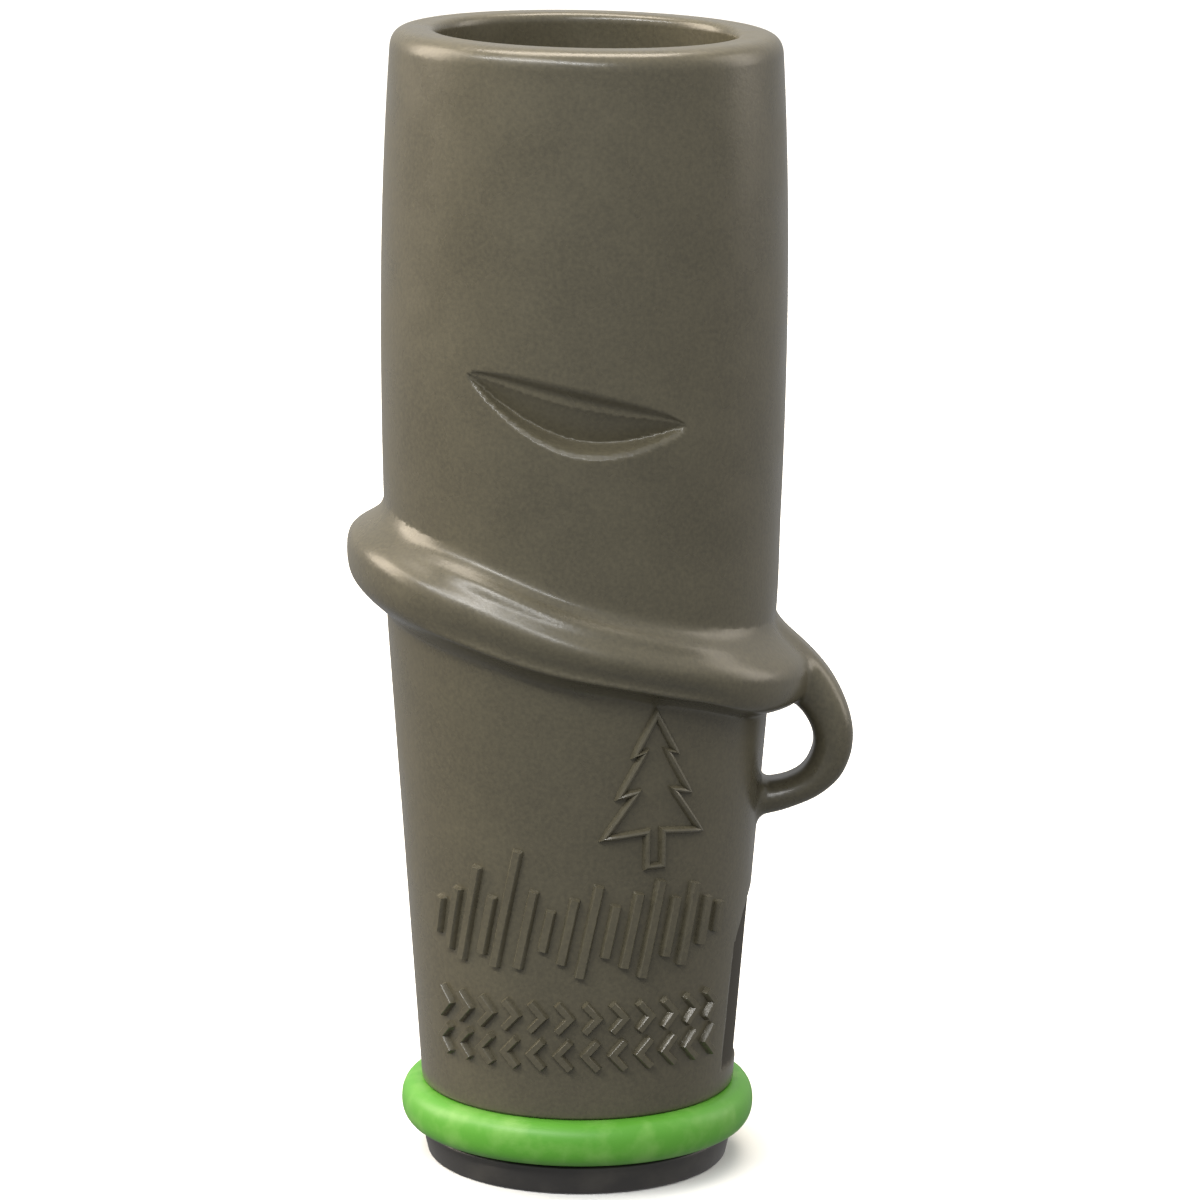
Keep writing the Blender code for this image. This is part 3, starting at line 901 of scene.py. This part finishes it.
def pressed_cork(finish):
    """Agglomerated cork: ground granules of 0.8 mm pressed together, dark seams and pores, dry."""
    material, tree, shader = new_material("pressed_cork")
    where = {"Vector": add_node(tree, "ShaderNodeTexCoord").outputs["Object"]}
    granule = add_node(tree, "ShaderNodeTexVoronoi", {"Scale": 1 / (0.8 * MM)}, where)
    seam = add_node(
        tree, "ShaderNodeTexVoronoi", {"feature": "DISTANCE_TO_EDGE", "Scale": 1 / (0.8 * MM)}, where
    )
    tone = add_node(
        tree,
        "ShaderNodeMix",
        {"data_type": "RGBA", 6: colour(finish.cork), 7: colour(finish.cork_pale)},
        {0: granule.outputs["Color"]},
    )
    gap = add_node(
        tree,
        "ShaderNodeMapRange",
        {"From Min": 0.0, "From Max": 0.08, "To Min": 1.0, "To Max": 0.0},
        {"Value": seam.outputs["Distance"]},
    )
    paint = add_node(
        tree,
        "ShaderNodeMix",
        {"data_type": "RGBA", 7: colour(finish.cork_dark)},
        {0: gap.outputs[0], 6: tone.outputs[2]},
    )
    bump = add_node(
        tree, "ShaderNodeBump", {"Strength": 0.6, "Distance": 0.08 * MM}, {"Height": seam.outputs["Distance"]}
    )
    set_shader(shader, {"Base Color": paint.outputs[2], "Normal": bump.outputs[0]}, {"Roughness": 0.9})
    return material


class GRUNT_OT_mouthpiece(bpy.types.Operator):
    """Build the hard mouthpiece: lip rim, spigot with its window, and the bulkhead"""

    bl_idname = "grunt.mouthpiece"
    bl_label = "Mouthpiece"

    def execute(self, context):
        rim, rim_top, top = (RIM_HIGH.x - AXIS_X) / MM, 2.6, RIM_HIGH.z / MM
        spigot, cavity, lip_bore, head_bore, head_floor = 9.6, 8.2, 7.4, 5.7, 43.0
        seal_low, seal_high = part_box("bulkhead_seal_ring")
        low, high, bottom = seal_low.z / MM - 0.3, seal_high.z / MM + 0.3, 8.0
        points = [(rim - 0.45, 0.0), (rim, rim_top - 0.6), (rim, rim_top), (spigot, rim_top), (spigot, low)]
        points += [(bottom, low), (bottom, high), (spigot, high), (spigot, top), (head_bore, top)]
        points += [(head_bore, head_floor), (cavity, head_floor), (cavity, 9.0), (lip_bore, 7.0)]
        points += [(lip_bore, 0.9), (8.3, 0.0)]
        radii = [0.35, 0.0, 0.3, 0.3, 0.15, 0.15, 0.15, 0.15, 0.6, 0.4, 0.2, 0.5, 0.6, 0.6, 0.3, 0.3]
        section = [(r * MM, z * MM) for r, z in rounded_section(points, radii)]
        body = linked_object("mouthpiece_form", turned_mesh("mouthpiece_form", section, 128))
        cutter = linked_object("window_form", self.window_form())
        cut = body.modifiers.new("window", "BOOLEAN")
        cut.operation = "DIFFERENCE"
        cut.solver = "EXACT"
        cut.object = cutter
        mesh = evaluated_mesh(body, "mouthpiece_body")
        bpy.data.objects.remove(cutter, do_unlink=True)
        shade_with_edges(mesh, 40)
        material = moulded_abs(context.scene.grunt_finish)
        new_piece("mouthpiece_body", mesh, material, "insert", ["mouthpiece"])
        return {"FINISHED"}

    def window_form(self):
        """A block with rounded corners that cuts the window through the front wall only."""
        half, corner, low, high = 7.0, 2.5, 12.5, 41.0
        outline = []
        for centre_x, centre_z, start in (
            (half - corner, high - corner, 0),
            (corner - half, high - corner, 90),
            (corner - half, low + corner, 180),
            (half - corner, low + corner, 270),
        ):
            for angle in np.radians(np.linspace(start, start + 90, 9)):
                outline.append((centre_x + corner * math.cos(angle), centre_z + corner * math.sin(angle)))
        rings = [[AXIS + Vector((x, y, z)) * MM for x, z in outline] for y in (-12.5, -3.5)]
        return lofted_mesh("window_form", rings)


class GRUNT_OT_tone_board(bpy.types.Operator):
    """Build the tone board: half-round bar, curved table, air trough and the head that stops it"""

    bl_idname = "grunt.tone_board"
    bl_label = "Tone board"

    def execute(self, context):
        low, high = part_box("tone_board")
        head = 52.3
        stations = [low.z / MM, low.z / MM + 0.25] + list(np.linspace(12.6, 15.4, 8))
        stations += list(np.linspace(15.6, 18.2, 8)) + list(np.linspace(19, head - 0.01, 30))
        radii = [5.05] + [5.3] * (len(stations) - 1)
        stations += [head, high.z / MM - 0.25, high.z / MM]
        radii += [6.8, 6.8, 6.55]
        rings = [self.outline(z, radius) for z, radius in zip(stations, radii)]
        mesh = lofted_mesh("tone_board_bar", rings)
        shade_with_edges(mesh, 40)
        material = moulded_abs(context.scene.grunt_finish)
        new_piece("tone_board_bar", mesh, material, "insert", ["tone_board"])
        return {"FINISHED"}

    def outline(self, z, radius):
        """The bar's outline at a height: the table with its trough in front, half round behind."""
        clamp, curve = 42.0, 0.0016
        half_trough, trough_start = 2.5, 15.5
        fall = curve * max(clamp - z, 0.0) ** 2
        reach = math.sqrt(max(radius**2 - fall**2, 0.01))
        short = max(trough_start - z, 0.0)
        trough = math.sqrt(max(half_trough**2 - short**2, 0.0))
        mouth = math.sqrt(max(trough**2 - fall**2, 0.0001))
        points = [(reach, fall), (mouth + 0.02, fall)]
        for angle in np.linspace(math.asin(min(fall / max(trough, 0.01), 1.0)), math.pi / 2, 9):
            points.append((trough * math.cos(angle), max(trough * math.sin(angle), fall)))
        points += [(-x, y) for x, y in reversed(points[:-1])]
        start = math.asin(min(fall / radius, 1.0))
        for angle in np.linspace(math.pi - start, start, 26)[1:-1]:
            points.append((radius * math.cos(angle), radius * math.sin(angle)))
        return [AXIS + Vector((x, y, z)) * MM for x, y in points]


class GRUNT_OT_reed(bpy.types.Operator):
    """Build the reed film and the cork wedge that pins its root"""

    bl_idname = "grunt.reed"
    bl_label = "Reed and wedge"

    def execute(self, context):
        finish = context.scene.grunt_finish
        low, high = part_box("reed")
        rings = []
        corner = 2.0 * MM
        heights = [low.z + corner * (1 - math.cos(a)) for a in np.radians(np.linspace(8, 90, 8))]
        heights += list(np.linspace(low.z + corner, high.z, 20))[1:]
        edge = 0.06 * MM
        for z in heights:
            drop = max(low.z + corner - z, 0.0)
            half = (high.x - low.x) / 2 - corner + math.sqrt(max(corner**2 - drop**2, 0.0))
            inner = half - edge
            outline = [(-half, low.y + edge), (-inner, low.y), (inner, low.y), (half, low.y + edge)]
            outline += [(half, high.y - edge), (inner, high.y), (-inner, high.y), (-half, high.y - edge)]
            rings.append([(AXIS_X + x, y, z) for x, y in outline])
        mesh = lofted_mesh("reed_film", rings)
        new_piece("reed_film", mesh, cast_film(finish), "reed", ["reed"])
        low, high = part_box("reed_wedge")
        radius = (high.x - low.x) / 2
        rings = []
        soft = 0.3 * MM
        for z, inset in ((low.z, soft), (low.z + soft, 0.0), (high.z - soft, 0.0), (high.z, soft)):
            ring = []
            size = radius - inset
            face = high.y - inset * 0.5
            start = math.asin(-face / size)
            for angle in np.linspace(start, math.pi - start, 28):
                ring.append((AXIS_X + size * math.cos(angle), -size * math.sin(angle), z))
            rings.append(ring)
        mesh = lofted_mesh("cork_wedge", rings)
        shade_with_edges(mesh, 30)
        new_piece("cork_wedge", mesh, pressed_cork(finish), "insert", ["reed_wedge"])
        return {"FINISHED"}


class GRUNT_OT_rings(bpy.types.Operator):
    """Build the tuning ring and the bulkhead's seal ring"""

    bl_idname = "grunt.rings"
    bl_label = "Rubber rings"

    def execute(self, context):
        material = moulded_nitrile(context.scene.grunt_finish)
        low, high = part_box("tuning_ring")
        wire = (high.z - low.z) / 2
        clear = (high.x - low.x) / 2 - wire
        front = low.y + wire
        bend = 1.2 * MM
        arcs = [((0.0, 0.0), clear, 0, 180, 41), ((bend - clear, front + bend), bend, 180, 270, 8)]
        arcs += [((clear - bend, front + bend), bend, 270, 360, 8)]
        path = []
        for (x, y), radius, start, end, count in arcs:
            for angle in np.radians(np.linspace(start, end, count)):
                across, back = radius * math.cos(angle), radius * math.sin(angle)
                path.append((AXIS_X + x + across, y + back, low.z + wire))
        path = [place for i, place in enumerate(path) if math.dist(place, path[i - 1]) > 0.01 * MM]
        mesh = swept_ring("tuning_o_ring", path, wire)
        new_piece("tuning_o_ring", mesh, material, "tuning_ring", ["tuning_ring"])
        low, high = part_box("bulkhead_seal_ring")
        wire = (high.z - low.z) / 2
        radius = (high.x - low.x) / 2 - wire
        turn = np.linspace(0, 2 * math.pi, 96, endpoint=False)
        path = [(AXIS_X + radius * math.cos(a), radius * math.sin(a), low.z + wire) for a in turn]
        mesh = swept_ring("seal_o_ring", path, wire)
        new_piece("seal_o_ring", mesh, material, "insert", ["bulkhead_seal_ring"])
        return {"FINISHED"}


# Stage


class GRUNT_OT_stage(bpy.types.Operator):
    """Set the pale floor, the soft lights and the camera"""

    bl_idname = "grunt.stage"
    bl_label = "Stage"

    def execute(self, context):
        stage = context.scene.grunt_stage
        self.lay_floor(context.scene.grunt_finish)
        self.light(stage)
        self.place_camera(context, stage)
        return {"FINISHED"}

    def lay_floor(self, finish):
        form = bmesh.new()
        bmesh.ops.create_grid(form, x_segments=8, y_segments=8, size=4.0)
        mesh = bpy.data.meshes.new("floor")
        form.to_mesh(mesh)
        form.free()
        material, tree, shader = new_material("matt_floor")
        set_shader(shader, {}, {"Base Color": colour(finish.floor), "Roughness": 0.9})
        floor = linked_object("floor", mesh)
        floor.location.z = -0.05 * MM
        floor.data.materials.append(material)
        # the floor's own glow would light the call from below
        floor.visible_diffuse = False
        floor.visible_glossy = False

    def light(self, stage):
        """White surroundings that light softly, with softboxes round the call."""
        world = bpy.data.worlds.new("white_surroundings")
        world.use_nodes = True
        tree = world.node_tree
        background = tree.nodes["Background"]
        # brighter overhead than from below, and plain white behind the call
        direction = add_node(tree, "ShaderNodeTexCoord")
        below, above = 0.8, 2.0
        split = add_node(tree, "ShaderNodeSeparateXYZ", links={0: direction.outputs["Generated"]})
        lighting = add_node(
            tree,
            "ShaderNodeMapRange",
            {"From Min": -0.4, "From Max": 1.0, "To Min": below * stage.sky, "To Max": above * stage.sky},
            {"Value": split.outputs["Z"]},
        )
        seen = add_node(tree, "ShaderNodeLightPath")
        strength = add_node(
            tree,
            "ShaderNodeMapRange",
            {"To Max": 1.0},
            {"Value": seen.outputs["Is Camera Ray"], "To Min": lighting.outputs[0]},
        )
        tree.links.new(strength.outputs[0], background.inputs["Strength"])
        background.inputs["Color"].default_value = (1.0, 1.0, 1.0, 1.0)
        bpy.context.scene.world = world
        for lamp in (
            ("key_softbox", -42, 46, 1.0, (0.3, 0.3), stage.key, "#FFF8EE"),
            ("front_strip", -32, 42, 1.0, (1.35, 0.03), stage.strip, "#FFFFFF"),
            ("top_softbox", -170, 78, 0.9, (0.8, 0.4), stage.top, "#FFF2E0"),
            ("left_softbox", -105, 25, 0.9, (0.5, 0.6), stage.left, "#FFEFD8"),
            ("right_softbox", 105, 20, 0.9, (0.4, 0.6), stage.right, "#FFF4E4"),
        ):
            self.softbox(*lamp)

    def softbox(self, name, bearing, height, distance, size, power, tint):
        """A rectangular lamp aimed at the call; bearing in degrees from the front towards the eye."""
        lamp = bpy.data.lights.new(name, "AREA")
        lamp.shape = "RECTANGLE"
        lamp.size, lamp.size_y = size
        lamp.energy = power
        lamp.color = colour(tint)[:3]
        turn, lift = math.radians(bearing), math.radians(height)
        level = Vector((math.sin(turn), -math.cos(turn), 0.0))
        away = math.cos(lift) * level + Vector((0.0, 0.0, math.sin(lift)))
        lamp_object = linked_object(name, lamp)
        lamp_object.location = AXIS + Vector((0.0, 0.0, CALL_HEIGHT / 2)) + distance * away
        lamp_object.rotation_euler = away.to_track_quat("Z", "Y").to_euler()

    def place_camera(self, context, stage):
        lens = bpy.data.cameras.new("camera")
        lens.lens = stage.focal_length
        lens.sensor_width = 36.0
        lens.clip_start = 0.01
        camera = linked_object("camera", lens)
        # a little towards the eye, so that the call with its eye stands in the middle
        side = AXIS_X + 1.6 * MM
        camera.location = (side, -stage.camera_distance, stage.camera_height)
        aim = Vector((side, 0.0, CALL_HEIGHT / 2))
        turn = (aim - camera.location).to_track_quat("-Z", "Y")
        camera.rotation_euler = (turn.to_matrix() @ Matrix.Rotation(stage.roll, 3, "Z")).to_euler()
        context.scene.camera = camera
        context.scene.view_settings.view_transform = "Standard"


class GRUNT_PT_panel(bpy.types.Panel):
    """Lists the pieces of the grunt call"""

    bl_idname = "GRUNT_PT_panel"
    bl_label = "Grunt Call"
    bl_space_type = "VIEW_3D"
    bl_region_type = "UI"
    bl_category = "Grunt Call"

    def draw(self, context):
        for operator in OPERATORS:
            self.layout.operator(operator.bl_idname)


OPERATORS = (
    GRUNT_OT_barrel,
    GRUNT_OT_decoration,
    GRUNT_OT_band,
    GRUNT_OT_mouthpiece,
    GRUNT_OT_tone_board,
    GRUNT_OT_reed,
    GRUNT_OT_rings,
    GRUNT_OT_stage,
)
SETTINGS = {"grunt_barrel": BarrelSettings, "grunt_finish": FinishSettings, "grunt_stage": StageSettings}
CLASSES = (*SETTINGS.values(), *OPERATORS, GRUNT_PT_panel)


def register():
    for cls in CLASSES:
        bpy.utils.register_class(cls)
    for name, group in SETTINGS.items():
        setattr(bpy.types.Scene, name, PointerProperty(type=group))


def unregister():
    for name in SETTINGS:
        delattr(bpy.types.Scene, name)
    for cls in reversed(CLASSES):
        bpy.utils.unregister_class(cls)


def main():
    register()
    bpy.ops.grunt.barrel()
    bpy.ops.grunt.decoration()
    bpy.ops.grunt.band()
    bpy.ops.grunt.mouthpiece()
    bpy.ops.grunt.tone_board()
    bpy.ops.grunt.reed()
    bpy.ops.grunt.rings()
    bpy.ops.grunt.stage()


if __name__ == "__main__":
    main()
